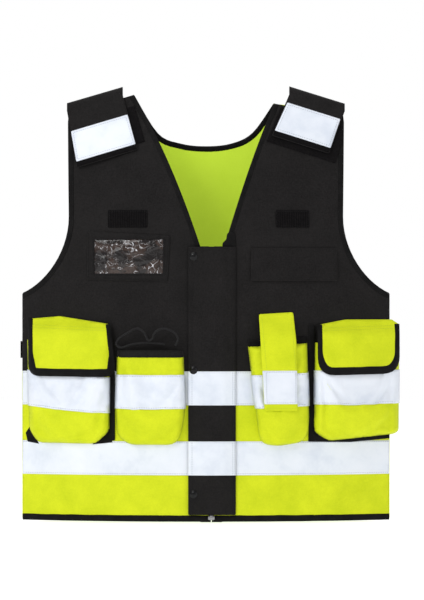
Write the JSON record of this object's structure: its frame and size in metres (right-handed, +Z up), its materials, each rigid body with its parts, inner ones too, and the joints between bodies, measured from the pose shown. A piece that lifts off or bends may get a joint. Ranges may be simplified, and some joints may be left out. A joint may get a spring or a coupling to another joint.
{
  "type": "high visibility vest",
  "caption": "Sleeveless safety vest, black over fluorescent lime, with reflective bands, zip under a storm flap, pockets and fold-over shoulder straps.",
  "frame": {"origin": "midway between the shoulder folds, in the plane of the side seams", "axes": "+Z up, -Y out of the front, +X towards the wearer's left"},
  "size_m": [0.5625, 0.1693, 0.6448],
  "materials": {
    "lime_cloth": "fluorescent yellow woven polyester",
    "black_cloth": "matt black woven polyester",
    "reflective_tape": "smooth silver retroreflective cloth",
    "hook_and_loop": "black pile",
    "clear_vinyl": "clear crinkled film over a dark lining",
    "webbing": "ribbed black tape",
    "press_stud": "gloss black",
    "zip_metal": "satin grey",
    "cord": "braided black elastic"
  },
  "bodies": {
    "body": {"back_panel": "lime_cloth", "back_tape_upper": "reflective_tape", "back_tape_lower": "reflective_tape", "front_right_upper": "black_cloth", "front_right_lower": "lime_cloth", "front_left_upper": "black_cloth", "front_left_lower": "lime_cloth", "front_right_tape_upper": "reflective_tape", "front_right_tape_lower": "reflective_tape", "front_left_tape_upper": "reflective_tape", "front_left_tape_lower": "reflective_tape", "hem_binding": "black_cloth", "armhole_binding_right": "black_cloth", "armhole_binding_left": "black_cloth", "neck_binding_back": "black_cloth", "shoulder_loop_right": "hook_and_loop", "shoulder_loop_left": "hook_and_loop", "zip_half_right": "webbing", "zip_half_left": "webbing", "zip_box": "zip_metal", "side_tab_right": "webbing", "side_tab_left": "webbing", "chest_loop_right": "hook_and_loop", "chest_loop_left": "hook_and_loop", "id_pocket": "black_cloth", "id_window": "clear_vinyl", "chest_pocket": "black_cloth", "right_cargo_bag": "lime_cloth", "right_cargo_tape": "reflective_tape", "tool_pocket": "lime_cloth", "tool_pocket_tape": "reflective_tape", "tool_pocket_channel": "black_cloth", "drawcord": "cord", "radio_pocket": "lime_cloth", "radio_pocket_tape": "reflective_tape", "radio_pocket_binding": "black_cloth", "left_cargo_bag": "lime_cloth", "left_cargo_tape": "reflective_tape"},
    "storm_flap": {"storm_flap": "black_cloth", "storm_flap_tape_upper": "reflective_tape", "storm_flap_tape_lower": "reflective_tape", "snap_cap_top": "press_stud", "snap_cap_middle": "press_stud", "snap_cap_bottom": "press_stud"},
    "right_cargo_flap": {"right_cargo_flap": "lime_cloth", "right_cargo_flap_binding": "black_cloth"},
    "left_cargo_flap": {"left_cargo_flap": "lime_cloth", "left_cargo_flap_binding": "black_cloth"},
    "chest_flap": {"chest_flap": "black_cloth"},
    "radio_strap": {"radio_strap": "lime_cloth", "radio_strap_patch": "reflective_tape"},
    "strap_right": {"strap_right": "black_cloth", "strap_right_patch": "reflective_tape", "strap_right_hook": "hook_and_loop"},
    "strap_left": {"strap_left": "black_cloth", "strap_left_patch": "reflective_tape", "strap_left_hook": "hook_and_loop"},
    "zip_slider": {"zip_slider": "zip_metal"},
    "zip_pull": {"zip_pull": "zip_metal"}
  },
  "joints": [
    {"name": "storm_flap_hinge", "type": "hinge", "parent": "body", "child": "storm_flap", "pos_m": [0.0442, -0.07569, -0.41], "axis": [0, 0, 1], "range_deg": [0, 110]},
    {"name": "right_cargo_flap_hinge", "type": "hinge", "parent": "body", "child": "right_cargo_flap", "pos_m": [-0.20169, -0.03923, -0.3167], "axis": [-0.9271, 0.3748, 0], "range_deg": [0, 120]},
    {"name": "left_cargo_flap_hinge", "type": "hinge", "parent": "body", "child": "left_cargo_flap", "pos_m": [0.23026, -0.02705, -0.3207], "axis": [-0.9186, -0.3952, 0], "range_deg": [0, 120]},
    {"name": "chest_flap_hinge", "type": "hinge", "parent": "body", "child": "chest_flap", "pos_m": [0.13056, -0.06088, -0.2158], "axis": [-0.9721, -0.2346, 0], "range_deg": [0, 120]},
    {"name": "radio_strap_hinge", "type": "hinge", "parent": "body", "child": "radio_strap", "pos_m": [0.10341, -0.06753, -0.3108], "axis": [-0.9837, -0.1796, 0], "range_deg": [0, 110]},
    {"name": "strap_right_hinge", "type": "hinge", "parent": "body", "child": "strap_right", "pos_m": [-0.165, 0, 0.0123], "axis": [-0.9598, 0, -0.2807], "range_deg": [0, 150]},
    {"name": "strap_left_hinge", "type": "hinge", "parent": "body", "child": "strap_left", "pos_m": [0.165, 0, 0.0123], "axis": [-0.9548, 0, 0.2974], "range_deg": [0, 150]},
    {"name": "zip_slide", "type": "slide", "parent": "body", "child": "zip_slider", "axis": [0, 0, 1], "range_m": [-0.37, 0]},
    {"name": "zip_pull_swing", "type": "hinge", "parent": "zip_slider", "child": "zip_pull", "pos_m": [0.008, -0.07687, -0.229], "axis": [0, 1, 0], "range_deg": [-20, 20]}
  ]
}
